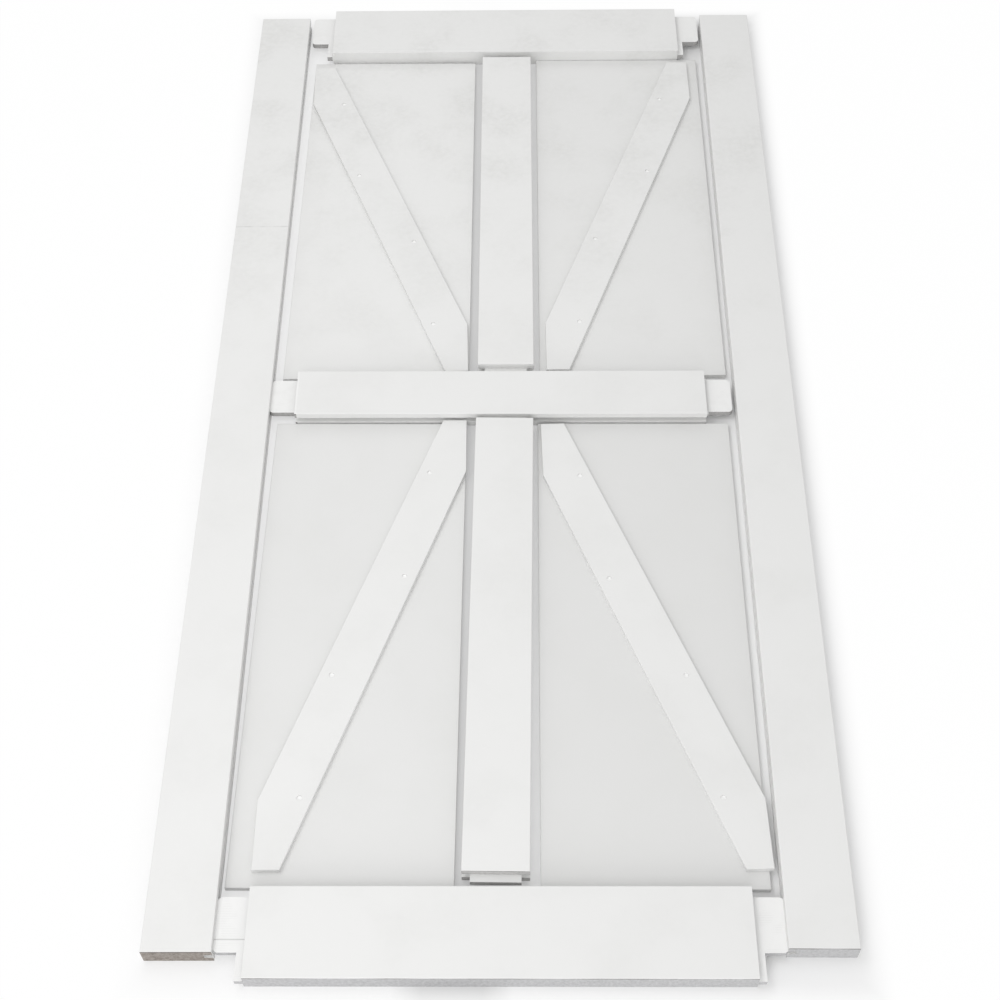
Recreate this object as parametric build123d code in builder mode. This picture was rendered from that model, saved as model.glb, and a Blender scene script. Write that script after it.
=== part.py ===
# Barn door leaf with four fields and a diagonal board in each, as a kit of loose boards. The
# boards lie face up on the floor in the order in which they go together, a little apart.
# Lengths are in millimetres and angles in degrees. X runs across the door, Y from its bottom
# end to its top end, and Z up from the floor. The origin is under the middle of the layout.
# The top rail is the same board as the bottom rail and lies the same way round, so its groove
# faces away from the fields. It is turned end for end when the door goes together.
import os
from math import atan2, cos, degrees, hypot, radians, sin

from build123d import *

os.makedirs("parts", exist_ok=True)

# The door, as it measures when it is put together
door_height = 2134
board_thickness = 35
stile_width = 105
rail_length = 750
end_rail_height = 142
mid_rail_height = 102
mullion_width = 104
arris_radius = 1.5

# Tenons, haunches, mortises, tongues and grooves
groove_width = 11
groove_depth = 13
joint_clearance = 0.25
tongue_room = 0.5
tenon_length = 48
tenon_height = 86
tenon_corner_radius = 8
mortise_room = 2

# Field panels and the diagonal boards on them
panel_thickness = 10
panel_room = 1
panel_arris = 0.6
brace_width = 80
brace_thickness = 9
brace_room = 1.5
brace_arris_radius = 1

# Stepped screw holes in the diagonal boards, and the plugs pushed into them
screw_hole_radius = 2.2
screw_head_radius = 4.3
screw_head_depth = 3.6
hole_pitch = 219.5
hole_stagger = 20
plug_clearance = 0.05
plug_sink = 1.7
plug_dish = 0.3
plug_arris = 0.4
plug_stem_length = 2.6

# How the boards lie: the stiles splay towards the top end and stand off the tenons. Each other
# board is shifted across, spaced along the door or turned anticlockwise by a small amount.
# A slack is how much longer the room between two rails is than the field between them.
stile_splay = 0.22
stile_stand_off = 2.9
left_stile_slip = 6.2
right_stile_slip = 12.8
top_rail_shift = 0.7
mid_rail_shift = -4.0
bottom_rail_shift = 0.6
top_rail_turn = 0.2
mid_rail_turn = -0.02
bottom_rail_turn = 0.03
upper_slack = 34.0
lower_slack = 32.6
upper_mullion_shift = 4.8
lower_mullion_shift = -1.6
upper_mullion_gap = 15.5
lower_mullion_gap = 9.5
upper_mullion_turn = 0.05
lower_mullion_turn = -0.68

# The panel of each field, how far it lies out from the middle of the field's width, and the
# diagonal board on it, whose top end leans left or right
layout = {
    "upper_left": dict(
        across=-1, along=1, panel_out=23.5, panel_gap=1.5, panel_turn=0.0,
        brace_shift=-0.2, brace_slip=-6.0, brace_turn=1.65, lean=1,
    ),
    "upper_right": dict(
        across=1, along=1, panel_out=28.3, panel_gap=9.5, panel_turn=0.0,
        brace_shift=-4.4, brace_slip=-5.4, brace_turn=0.5, lean=-1,
    ),
    "lower_left": dict(
        across=-1, along=-1, panel_out=27.5, panel_gap=3.0, panel_turn=-0.3,
        brace_shift=19.3, brace_slip=13.6, brace_turn=0.5, lean=-1,
    ),
    "lower_right": dict(
        across=1, along=-1, panel_out=22.5, panel_gap=3.5, panel_turn=-0.15,
        brace_shift=6.0, brace_slip=11.0, brace_turn=1.75, lean=1,
    ),
}

# Worked out from the sizes above
field_width = (rail_length - mullion_width) / 2
field_height = (door_height - 2 * end_rail_height - mid_rail_height) / 2
groove_floor = (board_thickness - groove_width) / 2
tongue_floor = groove_floor + joint_clearance
tongue_thickness = groove_width - 2 * joint_clearance
tongue_length = groove_depth - tongue_room
panel_width = field_width + 2 * groove_depth - 2 * panel_room
panel_height = field_height + 2 * groove_depth - 2 * panel_room

# A tenon ends level with the groove's floor. On the top and bottom rails a haunch carries on
# from it to the door's end, where it fills the stile's groove.
haunch_height = end_rail_height - groove_depth - tenon_height
mid_tenon_height = mid_rail_height - 2 * groove_depth


def board_place(x, y, turn, height=0.0):
    """The plane under a board whose middle lies at x, y, turned anticlockwise by turn."""
    across = Vector(1, 0, 0).rotate(Axis.Z, turn)
    return Plane(origin=(x, y, height), x_dir=across, z_dir=(0, 0, 1))


def half_reach(length, height, turn):
    """How far a turned board reaches along the door from its own middle."""
    return height / 2 * cos(radians(turn)) + length / 2 * abs(sin(radians(turn)))


def grooved_section(plane, width, grooved_edges):
    """Cross section of a frame board, with eased arrises and a groove in the edges named."""
    with BuildSketch(plane) as section:
        Rectangle(width, board_thickness, align=(Align.CENTER, Align.MIN))
        fillet(section.vertices(), arris_radius)
        for edge in grooved_edges:
            with Locations((edge * width / 2, groove_floor)):
                Rectangle(
                    2 * groove_depth, groove_width, align=(Align.CENTER, Align.MIN), mode=Mode.SUBTRACT
                )
    return section.sketch


def make_stile(place, inner_edge):
    """Full-height board with a groove along its inner edge and a blind mortise for each tenon."""
    mortises = (
        (haunch_height, tenon_height),
        (end_rail_height + field_height + groove_depth, mid_tenon_height),
        (door_height - haunch_height - tenon_height, tenon_height),
    )
    top_end = Plane(
        origin=place.from_local_coords(Vector(0, door_height / 2, 0)),
        x_dir=place.x_dir,
        z_dir=place.y_dir * -1,
    )
    with BuildPart() as stile:
        extrude(grooved_section(top_end, stile_width, (inner_edge,)), amount=door_height)
        with BuildSketch(place.offset(groove_floor)):
            for low, height in mortises:
                with Locations((inner_edge * stile_width / 2, low + height / 2 - door_height / 2)):
                    Rectangle(2 * (tenon_length + mortise_room), height + 2 * joint_clearance)
        extrude(amount=groove_width, mode=Mode.SUBTRACT)
    return stile


def make_rail(place, height, grooved_edges, tenon_size, haunch_size):
    """Cross board with a groove in the edges named, and a tenon and a haunch at both ends."""
    left_end = Plane(
        origin=place.from_local_coords(Vector(-rail_length / 2, 0, 0)),
        x_dir=place.y_dir,
        z_dir=place.x_dir,
    )
    with BuildPart() as rail:
        extrude(grooved_section(left_end, height, grooved_edges), amount=rail_length)
        with BuildSketch(place.offset(tongue_floor)) as tongues:
            with Locations((0, (height - tenon_size) / 2 - groove_depth)):
                Rectangle(rail_length + 2 * tenon_length, tenon_size)
            fillet(tongues.vertices(), tenon_corner_radius)
            if haunch_size > 0:
                with Locations((0, (haunch_size - height) / 2)):
                    Rectangle(rail_length + 2 * tongue_length, haunch_size)
            Rectangle(rail_length, height, mode=Mode.SUBTRACT)
        extrude(amount=tongue_thickness)
    return rail


def make_mullion(place):
    """Short upright board, grooved in both long edges, with a stub tongue at both ends."""
    top_end = Plane(
        origin=place.from_local_coords(Vector(0, field_height / 2, 0)),
        x_dir=place.x_dir,
        z_dir=place.y_dir * -1,
    )
    tongue_width = mullion_width - 2 * groove_depth
    with BuildPart() as mullion:
        extrude(grooved_section(top_end, mullion_width, (-1, 1)), amount=field_height)
        with BuildSketch(place.offset(tongue_floor)):
            Rectangle(tongue_width, field_height + 2 * tongue_length)
            Rectangle(tongue_width, field_height, mode=Mode.SUBTRACT)
        extrude(amount=tongue_thickness)
    return mullion


def make_panel(place):
    """Thin field panel with its upper arrises taken off."""
    with BuildPart() as panel:
        with BuildSketch(place):
            Rectangle(panel_width, panel_height)
        extrude(amount=panel_thickness)
        chamfer(panel.faces().sort_by(Axis.Z)[-1].edges(), panel_arris)
    return panel


# The diagonal board: its middle line joins two corners of the field, and both ends are cut back
# to the field's edges, so that each end is a point with one cut across and one along the door
brace_reach_x = field_width - 2 * brace_room
brace_reach_y = field_height - 2 * brace_room
brace_diagonal = hypot(brace_reach_x, brace_reach_y)
brace_slope = degrees(atan2(brace_reach_x, brace_reach_y))


def hole_places(place, lean):
    """The four screw positions along a diagonal board, staggered about its middle line."""
    line = place.rotated((0, 0, lean * brace_slope))
    steps = [(i - 1.5) * hole_pitch for i in range(4)]
    sides = [lean * hole_stagger * (1 if i % 2 else -1) for i in range(4)]
    return [
        Plane(origin=line.from_local_coords(Vector(side, step, 0)), x_dir=line.x_dir, z_dir=line.z_dir)
        for side, step in zip(sides, steps)
    ]


def make_brace(place, lean):
    """Diagonal board; lean is 1 where its top end is at the left and -1 at the right."""
    top = place.offset(brace_thickness)
    with BuildPart() as brace:
        with BuildSketch(place):
            Rectangle(brace_width, 2 * brace_diagonal, rotation=lean * brace_slope)
            Rectangle(brace_reach_x, brace_reach_y, mode=Mode.INTERSECT)
        extrude(amount=brace_thickness)
        fillet(brace.faces().sort_by(Axis.Z)[-1].edges(), brace_arris_radius)
        with Locations(*hole_places(top, lean)):
            CounterBoreHole(screw_hole_radius, screw_head_radius, screw_head_depth)
    return brace


def make_plugs(place, lean):
    """Four push-in plugs: a dished disc sunk below the board's face, on a stem in the screw hole."""
    disc_radius = screw_head_radius - plug_clearance
    stem_radius = screw_hole_radius - plug_clearance
    with BuildPart() as plug:
        with BuildSketch(Plane.XZ):
            with BuildLine():
                dish = ThreePointArc(
                    (0, -plug_sink - plug_dish),
                    (disc_radius / 2, -plug_sink - plug_dish * 3 / 4),
                    (disc_radius - plug_arris, -plug_sink),
                )
                Polyline(
                    dish @ 1,
                    (disc_radius, -plug_sink - plug_arris),
                    (disc_radius, -screw_head_depth),
                    (stem_radius, -screw_head_depth),
                    (stem_radius, -screw_head_depth - plug_stem_length),
                    (0, -screw_head_depth - plug_stem_length),
                    dish @ 0,
                )
            make_face()
        revolve(axis=Axis.Z)
    top = place.offset(brace_thickness)
    with BuildPart() as plugs:
        with Locations(*hole_places(top, lean)):
            add(plug.part)
    return plugs


def save(name, board):
    """Name a finished sub-part and write it."""
    board.part.label = name
    export_step(board.part, f"parts/{name}.step")


# Places along the door, counted up from the mid rail's middle
top_rail_y = mid_rail_height / 2 + field_height + upper_slack + end_rail_height / 2
bottom_rail_y = -mid_rail_height / 2 - field_height - lower_slack - end_rail_height / 2
upper_mullion_y = mid_rail_height / 2 + upper_mullion_gap + field_height / 2
lower_mullion_y = -mid_rail_height / 2 - lower_mullion_gap - field_height / 2

# The layout reaches from the bottom rail's outer edge to the top rail's, and is centred on Y
top_reach = top_rail_y + half_reach(rail_length, end_rail_height, top_rail_turn)
bottom_reach = bottom_rail_y - half_reach(rail_length, end_rail_height, bottom_rail_turn)
centre_y = (top_reach + bottom_reach) / 2

stile_x = rail_length / 2 + tenon_length + stile_stand_off + stile_width / 2
left_stile_place = board_place(-stile_x, left_stile_slip - centre_y, stile_splay)
right_stile_place = board_place(stile_x, right_stile_slip - centre_y, -stile_splay)
save("stile_left", make_stile(left_stile_place, inner_edge=1))
save("stile_right", make_stile(right_stile_place, inner_edge=-1))

top_rail_place = board_place(top_rail_shift, top_rail_y - centre_y, top_rail_turn)
mid_rail_place = board_place(mid_rail_shift, -centre_y, mid_rail_turn)
bottom_rail_place = board_place(bottom_rail_shift, bottom_rail_y - centre_y, bottom_rail_turn)
save("top_rail", make_rail(top_rail_place, end_rail_height, (1,), tenon_height, haunch_height))
save("mid_rail", make_rail(mid_rail_place, mid_rail_height, (-1, 1), mid_tenon_height, 0))
save("bottom_rail", make_rail(bottom_rail_place, end_rail_height, (1,), tenon_height, haunch_height))

upper_mullion_place = board_place(upper_mullion_shift, upper_mullion_y - centre_y, upper_mullion_turn)
lower_mullion_place = board_place(lower_mullion_shift, lower_mullion_y - centre_y, lower_mullion_turn)
save("mullion_upper", make_mullion(upper_mullion_place))
save("mullion_lower", make_mullion(lower_mullion_place))

for corner, lie in layout.items():
    x = lie["across"] * ((mullion_width + field_width) / 2 + lie["panel_out"])
    y = lie["along"] * ((mid_rail_height + panel_height) / 2 + lie["panel_gap"]) - centre_y
    panel_place = board_place(x, y, lie["panel_turn"])
    brace_place = board_place(
        x + lie["brace_shift"], y + lie["brace_slip"], lie["brace_turn"], height=panel_thickness
    )
    save(f"panel_{corner}", make_panel(panel_place))
    save(f"brace_{corner}", make_brace(brace_place, lie["lean"]))
    save(f"plugs_{corner}", make_plugs(brace_place, lie["lean"]))
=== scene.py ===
import math

import bpy
from mathutils import Matrix, Vector


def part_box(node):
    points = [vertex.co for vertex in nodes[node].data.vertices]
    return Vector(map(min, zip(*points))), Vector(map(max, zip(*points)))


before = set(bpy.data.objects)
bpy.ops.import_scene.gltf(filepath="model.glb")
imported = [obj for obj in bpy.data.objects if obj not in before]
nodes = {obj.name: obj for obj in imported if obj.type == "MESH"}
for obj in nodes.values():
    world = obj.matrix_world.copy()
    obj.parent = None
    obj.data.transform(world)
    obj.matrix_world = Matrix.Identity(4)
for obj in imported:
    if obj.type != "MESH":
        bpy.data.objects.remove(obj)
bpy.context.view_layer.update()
bpy.ops.object.select_all(action="DESELECT")


# The stiles are the two long upright boards. They are fibreboard wrapped in white foil, milled
# along the inner edge to take the rails, and sawn to length last. Their ends are drawn as bare
# board, made darker as painted shade.
def linear(code):
    """A colour written as sRGB hex, as Blender's linear values."""
    parts = [int(code[i : i + 2], 16) / 255 for i in (0, 2, 4)]
    values = [part / 12.92 if part <= 0.04045 else ((part + 0.055) / 1.055) ** 2.4 for part in parts]
    return values + [1.0]


def put(tree, kind, inputs=None, **settings):
    """Adds a shader node. Each input goes by its name, or by its number among the live ones, and is
    a value, a socket, or a node that gives its one live output."""
    node = tree.nodes.new("ShaderNode" + kind)
    for name, value in settings.items():
        setattr(node, name, value)
    live = [socket for socket in node.inputs if socket.enabled]
    for key, value in (inputs or {}).items():
        socket = live[key] if isinstance(key, int) else node.inputs[key]
        if isinstance(value, bpy.types.Node):
            value = next(output for output in value.outputs if output.enabled)
        if isinstance(value, bpy.types.NodeSocket):
            tree.links.new(value, socket)
        else:
            socket.default_value = value
    return node


def blank_material(name):
    """A node material with nothing in it yet."""
    material = bpy.data.materials.new(name)
    material.use_nodes = True
    material.node_tree.nodes.clear()
    return material


def dress(name, material):
    """Gives a CAD node its material."""
    for slot in nodes[name].material_slots:
        slot.material = material


# Satin foil is a soft even white with a broad dull gloss, which its fine grain breaks up. The real
# grain is a few tenths of a millimetre. It is drawn at 1.6 mm, because a finer one wouldn't show.
foil_white = "E9E9E8"
foil_roughness = 0.42
foil_ior = 1.46
grain_size = 0.0016
grain_depth = 0.00003
grain_strength = 0.3

# Handling has left greyer specks in cloudy patches, more of them towards the far end of the door
foil_handled = "DBDBD9"
speck_size = 0.011
specks_start = 0.3
specks_full = 0.75
patch_size = 0.120
patches_start = 0.4
patches_full = 0.7
patches_least = 0.2
handled_from_y = 0.0
handled_to_y = 0.7
handled_least = 0.12
handled_most = 0.7
cloud_share = 0.2

# Sawn fibreboard is dull and mottled, with a browner pressed skin along the top in patches. The
# fibres are under 1 mm. They are drawn in tufts of 5 mm, because finer ones wouldn't show.
board_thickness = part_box("stile_left")[1][2]
board_roughness = 0.85
fibre_size = 0.005
fibres_start = 0.35
fibres_full = 0.65
skin_brown = "57534F"
skin_thickness = 0.002
skin_blend = 0.001
skin_share = 0.9
skin_start = 0.4
skin_full = 0.55


def foil_material(name, face=foil_white, bare=None, cut=None, marks=None):
    """White foil. Cut gives the share that shows bare board, and marks draws on the foil's colour."""
    material = blank_material(name)
    tree = material.node_tree
    coordinates = put(tree, "TexCoord").outputs
    place, normal = coordinates["Object"], coordinates["Normal"]
    x, y, z = put(tree, "SeparateXYZ", {0: place}).outputs
    speck_noise = {"Vector": place, "Scale": 1 / speck_size, "Detail": 5.0, "Roughness": 0.6}
    specks = put(tree, "TexNoise", speck_noise)
    specked = put(tree, "MapRange", {0: specks, 1: specks_start, 2: specks_full})
    far_more = {0: y, 1: handled_from_y, 2: handled_to_y, 3: handled_least, 4: handled_most}
    handled = put(tree, "MapRange", far_more)
    patches = put(tree, "TexNoise", {"Vector": place, "Scale": 1 / patch_size, "Detail": 4.0})
    patch_range = {0: patches, 1: patches_start, 2: patches_full, 3: patches_least}
    patchy = put(tree, "MapRange", patch_range, interpolation_type="SMOOTHSTEP")
    rubbed = put(tree, "Math", {0: patchy, 1: handled}, operation="MULTIPLY")
    specky = put(tree, "Math", {0: specked, 1: rubbed}, operation="MULTIPLY")
    cloudy = put(tree, "Math", {0: patchy, 1: cloud_share}, operation="MULTIPLY")
    soiled = put(tree, "Math", {0: specky, 1: cloudy}, operation="ADD")
    whites = {0: soiled, 1: linear(face), 2: linear(foil_handled)}
    colour = put(tree, "Mix", whites, data_type="RGBA")
    if marks:
        colour = marks(tree, x, y, colour)
    roughness = foil_roughness
    if cut:
        share = cut(tree, place, normal)
        fibre_noise = {"Vector": place, "Scale": 1 / fibre_size, "Detail": 8.0, "Roughness": 0.75}
        fibres = put(tree, "TexNoise", fibre_noise)
        open_fibre = put(tree, "MapRange", {0: fibres, 1: fibres_start, 2: fibres_full})
        fibre_colours = {0: open_fibre, 1: linear(bare[0]), 2: linear(bare[1])}
        board = put(tree, "Mix", fibre_colours, data_type="RGBA")
        skin_z = board_thickness - skin_thickness
        skin = put(tree, "MapRange", {0: z, 1: skin_z - skin_blend, 2: skin_z, 4: skin_share})
        skin_patches = put(tree, "MapRange", {0: patches, 1: skin_start, 2: skin_full})
        skinned = put(tree, "Math", {0: skin, 1: skin_patches}, operation="MULTIPLY")
        board = put(tree, "Mix", {0: skinned, 1: board, 2: linear(skin_brown)}, data_type="RGBA")
        colour = put(tree, "Mix", {0: share, 1: colour, 2: board}, data_type="RGBA")
        roughness = put(tree, "MapRange", {0: share, 3: foil_roughness, 4: board_roughness})
    grain = put(tree, "TexNoise", {"Vector": place, "Scale": 1 / grain_size, "Detail": 2.0})
    relief = {"Height": grain, "Strength": grain_strength, "Distance": grain_depth}
    bump = put(tree, "Bump", relief)
    look = {"Base Color": colour, "Roughness": roughness, "IOR": foil_ior, "Normal": bump}
    put(tree, "OutputMaterial", {"Surface": put(tree, "BsdfPrincipled", look)})
    return material


# A face is square on to an axis where its normal points this far along it
square_on = 0.9


def sawn_ends(tree, place, normal):
    """1 on the two ends, which face along the board."""
    ahead = put(tree, "SeparateXYZ", {0: normal}).outputs["Y"]
    either_way = put(tree, "Math", {0: ahead}, operation="ABSOLUTE")
    return put(tree, "Math", {0: either_way, 1: square_on}, operation="GREATER_THAN")


seam_y = 0.4264
seam_half_width = 0.0011
seam_break = 0.025
breaks_start = 0.4
breaks_full = 0.6
seam_faintest = 0.05
seam_darkest = 0.35
mark_grey = "B4B4B2"


def seam(tree, x, y, colour):
    """A faint broken line straight across the stile, where the foil was joined."""
    off = put(tree, "Math", {0: y, 1: seam_y}, operation="SUBTRACT")
    away = put(tree, "Math", {0: off}, operation="ABSOLUTE")
    line_edge = {0: away, 1: seam_half_width, 2: 2 * seam_half_width, 3: 1.0, 4: 0.0}
    line = put(tree, "MapRange", line_edge)
    along = put(tree, "CombineXYZ", {0: x})
    breaks = put(tree, "TexNoise", {"Vector": along, "Scale": 1 / seam_break})
    break_range = {0: breaks, 1: breaks_start, 2: breaks_full, 3: seam_faintest, 4: seam_darkest}
    broken = put(tree, "MapRange", break_range)
    share = put(tree, "Math", {0: line, 1: broken}, operation="MULTIPLY")
    return put(tree, "Mix", {0: share, 1: colour, 2: linear(mark_grey)}, data_type="RGBA")


# The left stile's ends are brown board and the right one's grey board, both darker as painted
# shade. A bare board's two colours are its closed and its open fibre.
brown_board_and_painted_shade = ("756E68", "A8A19B")
grey_board_painted_shade = ("ABABAC", "C6C6C7")
left_foil = foil_material("satin foil, brown ends with painted shade", bare=brown_board_and_painted_shade, cut=sawn_ends, marks=seam)
dress("stile_left", left_foil)
dress("stile_right", foil_material("satin foil, grey ends as painted shade", bare=grey_board_painted_shade, cut=sawn_ends))

# The rails are the same wrapped board. Their tenons and haunches are milled after wrapping, so the
# sides and shoulders show grey fibre, whose grey is also painted shade on the tenons' near edges,
# and the cutter has left fine lines along the tenons' faces.
shoulder_x = 0.375
shoulder_clear = 0.0005
upright_limit = 0.5


def milled_tenons(tree, place, normal):
    """1 on the ends, on the sides of the tenons and on the shoulders that they stand out from."""
    across = put(tree, "SeparateXYZ", {0: place}).outputs["X"]
    out = put(tree, "Math", {0: across}, operation="ABSOLUTE")
    beyond = put(tree, "Math", {0: out, 1: shoulder_x + shoulder_clear}, operation="GREATER_THAN")
    facing = put(tree, "SeparateXYZ", {0: normal}).outputs
    up = put(tree, "Math", {0: facing["Z"]}, operation="ABSOLUTE")
    upright = put(tree, "Math", {0: up, 1: upright_limit}, operation="LESS_THAN")
    side = put(tree, "Math", {0: beyond, 1: upright}, operation="MULTIPLY")
    sideways = put(tree, "Math", {0: facing["X"]}, operation="ABSOLUTE")
    end = put(tree, "Math", {0: sideways, 1: square_on}, operation="GREATER_THAN")
    return put(tree, "Math", {0: side, 1: end}, operation="MAXIMUM")


# The bottom rail's outer edge is drawn as grey board, as painted shade
outer_edge_y = -1.09


def milled_tenons_and_shaded_outer_edge(tree, place, normal):
    """The same, and 1 on the bottom rail's outer edge, where grey board stands as painted shade."""
    near = put(tree, "SeparateXYZ", {0: place}).outputs["Y"]
    outer = put(tree, "Math", {0: near, 1: outer_edge_y}, operation="LESS_THAN")
    edge = put(tree, "Math", {0: outer, 1: sawn_ends(tree, place, normal)}, operation="MULTIPLY")
    return put(tree, "Math", {0: edge, 1: milled_tenons(tree, place, normal)}, operation="MAXIMUM")


# Real cutter lines are about a millimetre apart. They are drawn 2.6 mm apart, because closer ones
# wouldn't show, and only in patches, as where the cutter dwelt.
fresh_white = "EFEFEE"
shoulder_blend = 0.002
cutter_pitch = 0.0026
crest_start = 0.5
cutter_patch = 0.030
cutter_patch_start = 0.5
cutter_patch_full = 0.62
fine_line_share = 0.2
deep_line_y = -1.038
deep_line_half_width = 0.0006
deep_line_share = 0.6


def cutter_lines(tree, x, y, colour):
    """Cleaner tenons, with fine lines along them in patches, and a deeper one on the bottom left."""
    out = put(tree, "Math", {0: x}, operation="ABSOLUTE")
    beyond = put(tree, "MapRange", {0: out, 1: shoulder_x, 2: shoulder_x + shoulder_blend})
    turn = put(tree, "Math", {0: y, 1: 2 * math.pi / cutter_pitch}, operation="MULTIPLY")
    wave = put(tree, "Math", {0: turn}, operation="SINE")
    crest = put(tree, "MapRange", {0: wave, 1: crest_start, 2: 1.0})
    flat_place = put(tree, "CombineXYZ", {0: x, 1: y})
    patches = put(tree, "TexNoise", {"Vector": flat_place, "Scale": 1 / cutter_patch})
    patch_range = {0: patches, 1: cutter_patch_start, 2: cutter_patch_full, 4: fine_line_share}
    patch = put(tree, "MapRange", patch_range)
    fine = put(tree, "Math", {0: crest, 1: patch}, operation="MULTIPLY")
    off = put(tree, "Math", {0: y, 1: deep_line_y}, operation="SUBTRACT")
    away = put(tree, "Math", {0: off}, operation="ABSOLUTE")
    line_end = 2 * deep_line_half_width
    line_edge = {0: away, 1: deep_line_half_width, 2: line_end, 3: deep_line_share, 4: 0.0}
    line = put(tree, "MapRange", line_edge)
    left = put(tree, "Math", {0: x, 1: 0.0}, operation="LESS_THAN")
    deep = put(tree, "Math", {0: line, 1: left}, operation="MULTIPLY")
    lines = put(tree, "Math", {0: fine, 1: deep}, operation="MAXIMUM")
    lined = put(tree, "Mix", {0: lines, 1: linear(fresh_white), 2: linear(mark_grey)}, data_type="RGBA")
    return put(tree, "Mix", {0: beyond, 1: colour, 2: lined}, data_type="RGBA")


# Milled fibreboard is cut cleaner than sawn board, and looks a more even grey, which is also painted
# shade
milled_board_and_painted_shade = ("A2A1A0", "BAB9B8")
milled_rail_with_painted_shade = foil_material(
    "satin foil, milled tenons with painted shade", bare=milled_board_and_painted_shade, cut=milled_tenons, marks=cutter_lines
)
dress("top_rail", milled_rail_with_painted_shade)
dress("mid_rail", milled_rail_with_painted_shade)
rail_with_shaded_outer_edge = foil_material(
    "satin foil, outer edge painted shade", bare=grey_board_painted_shade, cut=milled_tenons_and_shaded_outer_edge, marks=cutter_lines
)
dress("bottom_rail", rail_with_shaded_outer_edge)

# The mullions are the same wrapped board again, with short tongues milled on their ends. The upper
# one's foil is turned over its end. The lower one's ends are drawn as pale bare fibre, which is
# painted shade.
pale_board_painted_shade = ("BEBDBC", "D2D1D0")
dress("mullion_upper", foil_material("satin foil, wrapped ends"))
dress("mullion_lower", foil_material("satin foil, pale ends as painted shade", bare=pale_board_painted_shade, cut=sawn_ends))

# The four field panels are thin board in the same foil, cut to slide into the grooves round them.
# Each has its own white: the right pair is a shade greyer than the left pair as painted shade, and
# the lower pair is greyer than the upper.
panel_whites_with_painted_shade = {
    "upper_left": "E9E9E8",
    "upper_right": "E5E5E4",
    "lower_left": "E3E3E2",
    "lower_right": "E0E0DF",
}
for corner, white in panel_whites_with_painted_shade.items():
    panel_name = corner.replace("_", " ")
    dress(f"panel_{corner}", foil_material(f"satin foil on {panel_name} panel", face=white))

# The four diagonal boards are strips of thin board in the same foil, drilled for screws and cut to
# a point at both ends. The foil turns over their edges, so they are the same white all round.
brace_foil = foil_material("satin foil on diagonal board")
for corner in panel_whites_with_painted_shade:
    dress(f"brace_{corner}", brace_foil)

# The plugs are moulded white plastic, pushed into the screw holes of the diagonal boards. They are
# drawn near pure white and a little glossier than the foil, as a painted highlight, and rubbing has
# left them unevenly dull.
plug_highlight_white = "FBFBFA"
plug_worn_highlight_white = "F5F5F4"
plug_ior = 1.5
plug_smooth = 0.26
plug_dull = 0.4
scuff_size = 0.0025
scuffs_start = 0.3
scuffs_full = 0.7
plastic = blank_material("moulded white plastic, painted highlight")
tree = plastic.node_tree
place = put(tree, "TexCoord").outputs["Object"]
scuffs = put(tree, "TexNoise", {"Vector": place, "Scale": 1 / scuff_size, "Detail": 3.0})
colour = put(tree, "Mix", {0: scuffs, 1: linear(plug_highlight_white), 2: linear(plug_worn_highlight_white)}, data_type="RGBA")
dull_range = {0: scuffs, 1: scuffs_start, 2: scuffs_full, 3: plug_smooth, 4: plug_dull}
dulled = put(tree, "MapRange", dull_range)
look = {"Base Color": colour, "Roughness": dulled, "IOR": plug_ior}
put(tree, "OutputMaterial", {"Surface": put(tree, "BsdfPrincipled", look)})
for corner in panel_whites_with_painted_shade:
    dress(f"plugs_{corner}", plastic)

# The floor is white paper that takes the door's shadow. To the camera it turns to clean white away
# from the door. Inside the door's outline its glow to the camera is painted light, about half near
# the left stile and none at the right stile, and grey paper along the left of the mullions is painted
# shade.
floor_size = 30.0
floor_drop = 0.0003
outline_x = 0.527
outline_y = 1.09
fade = 0.055
# Inside the outline the glow to the camera is painted light, fading from the left stile to the right
stile_reach = 0.44
painted_glow_by_left_stile = 0.52
painted_glow_by_right_stile = 0.0
white_outside = 0.98
# A strip of grey paper along the left of the mullions is painted shade
painted_shade_x = -0.07
painted_shade_half_width = 0.045
paper_white = "F3F3F3"
painted_shade_grey = "C4C4C4"
clean_white = (1, 1, 1, 1)
bpy.ops.mesh.primitive_plane_add(size=floor_size, location=(0, 0, -floor_drop))
floor = bpy.context.object
floor.name = "floor"
paper = blank_material("white paper")
tree = paper.node_tree
place = put(tree, "TexCoord").outputs["Object"]
x, y = put(tree, "SeparateXYZ", {0: place}).outputs[:2]
from_middle_x = put(tree, "Math", {0: x}, operation="ABSOLUTE")
from_middle_y = put(tree, "Math", {0: y}, operation="ABSOLUTE")
past_x = put(tree, "MapRange", {0: from_middle_x, 1: outline_x, 2: outline_x + fade})
past_y = put(tree, "MapRange", {0: from_middle_y, 1: outline_y, 2: outline_y + fade})
past = put(tree, "Math", {0: past_x, 1: past_y}, operation="MAXIMUM")
across = {0: x, 1: -stile_reach, 2: stile_reach, 3: painted_glow_by_left_stile, 4: painted_glow_by_right_stile}
painted_glow_inside = put(tree, "MapRange", across)
outside = {0: past, 3: painted_glow_inside, 4: white_outside}
whiteness = put(tree, "MapRange", outside, interpolation_type="SMOOTHSTEP")
rays = put(tree, "LightPath").outputs
second_hand = {0: rays["Is Glossy Ray"], 1: rays["Is Transmission Ray"]}
mirrored = put(tree, "Math", second_hand, operation="MAXIMUM")
seen = put(tree, "Math", {0: rays["Is Camera Ray"], 1: mirrored}, operation="MAXIMUM")
share = put(tree, "Math", {0: seen, 1: whiteness}, operation="MULTIPLY")
off_strip = put(tree, "Math", {0: x, 1: painted_shade_x}, operation="SUBTRACT")
from_strip = put(tree, "Math", {0: off_strip}, operation="ABSOLUTE")
strip_range = {0: from_strip, 1: painted_shade_half_width, 2: 2 * painted_shade_half_width}
clear_of_painted_shade = put(tree, "MapRange", strip_range)
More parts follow.
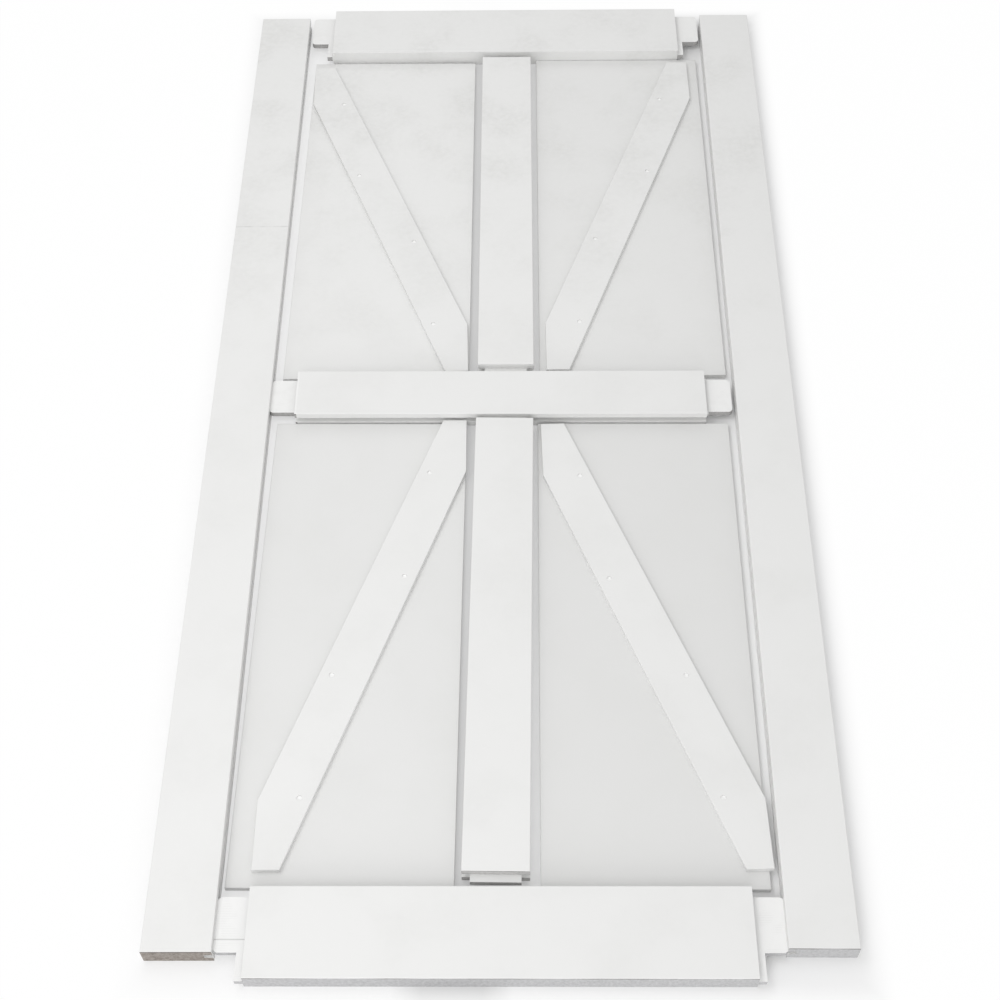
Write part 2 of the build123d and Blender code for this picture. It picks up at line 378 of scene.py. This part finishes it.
papers = {0: clear_of_painted_shade, 1: linear(painted_shade_grey), 2: linear(paper_white)}
white = put(tree, "Mix", papers, data_type="RGBA")
shaded = put(tree, "BsdfDiffuse", {"Color": white})
glowing = put(tree, "Emission", {"Color": clean_white, "Strength": 1.0})
put(tree, "OutputMaterial", {"Surface": put(tree, "MixShader", {0: share, 1: shaded, 2: glowing})})
floor.data.materials.append(paper)

# The light is an even white sky, which the camera sees as clean white, with soft windows round the
# door and one lamp over its middle. All are weak enough that the white foil doesn't clip.
sky_strength = 0.66
sky = bpy.data.worlds.new("even white sky")
bpy.context.scene.world = sky
sky.use_nodes = True
tree = sky.node_tree
tree.nodes.clear()
rays = put(tree, "LightPath").outputs
first_hand = {0: rays["Is Camera Ray"], 1: rays["Is Transmission Ray"]}
seen = put(tree, "Math", first_hand, operation="MAXIMUM")
strength = put(tree, "MapRange", {0: seen, 3: sky_strength, 4: 1.0})
glow = put(tree, "Background", {"Color": clean_white, "Strength": strength})
put(tree, "OutputWorld", {"Surface": glow})

# Where each stands, where it aims, its width and height, and its power in watts
windows = {
    "left window": ((-1.6, -0.6, 3.0), (0, -0.2, 0), 1.2, 1.2, 13),
    "near window": ((-0.3, -3.4, 3.0), (0, -0.2, 0), 2.0, 1.6, 25),
    "low near window": ((-0.3, -3.6, 1.1), (0, -0.2, 0), 2.2, 1.2, 22),
    "far window": ((-0.3, 3.2, 2.4), (0, 0.2, 0), 2.0, 1.6, 11),
    "lamp over the middle": ((-0.6, 0.1, 2.0), (-0.2, 0.1, 0), 1.0, 1.0, 4.5),
}
for name, (stand, aim, width, height, power) in windows.items():
    light = bpy.data.lights.new(name, "AREA")
    light.shape = "RECTANGLE"
    light.size = width
    light.size_y = height
    light.energy = power
    window = bpy.data.objects.new(name, light)
    bpy.context.scene.collection.objects.link(window)
    turn = (Vector(aim) - Vector(stand)).to_track_quat("-Z", "Y")
    window.matrix_world = Matrix.Translation(stand) @ turn.to_matrix().to_4x4()

# The camera is a 60 mm lens, 2.4 m up and 0.9 m off the bottom end of the door, tipped down at its
# middle. It is turned to the left, tipped below the horizon and rolled clockwise by these angles.
camera_place = (0.0284, -1.9565, 2.3871)
lens = 59.964
sensor = 36.0
turned = math.radians(1.08)
tipped = math.radians(53.974)
rolled = math.radians(0.964)
ahead = Vector((-math.sin(turned), math.cos(turned), 0))
level_side = Vector((math.cos(turned), math.sin(turned), 0))
look = ahead * math.cos(tipped) - Vector((0, 0, math.sin(tipped)))
level_top = ahead * math.sin(tipped) + Vector((0, 0, math.cos(tipped)))
side = level_side * math.cos(rolled) - level_top * math.sin(rolled)
top = level_top * math.cos(rolled) + level_side * math.sin(rolled)
camera = bpy.data.objects.new("camera", bpy.data.cameras.new("camera"))
bpy.context.scene.collection.objects.link(camera)
camera.data.lens = lens
camera.data.sensor_width = sensor
camera.matrix_world = Matrix.Translation(camera_place) @ Matrix((side, top, -look)).transposed().to_4x4()
bpy.context.scene.camera = camera
bpy.context.scene.view_settings.view_transform = "Standard"
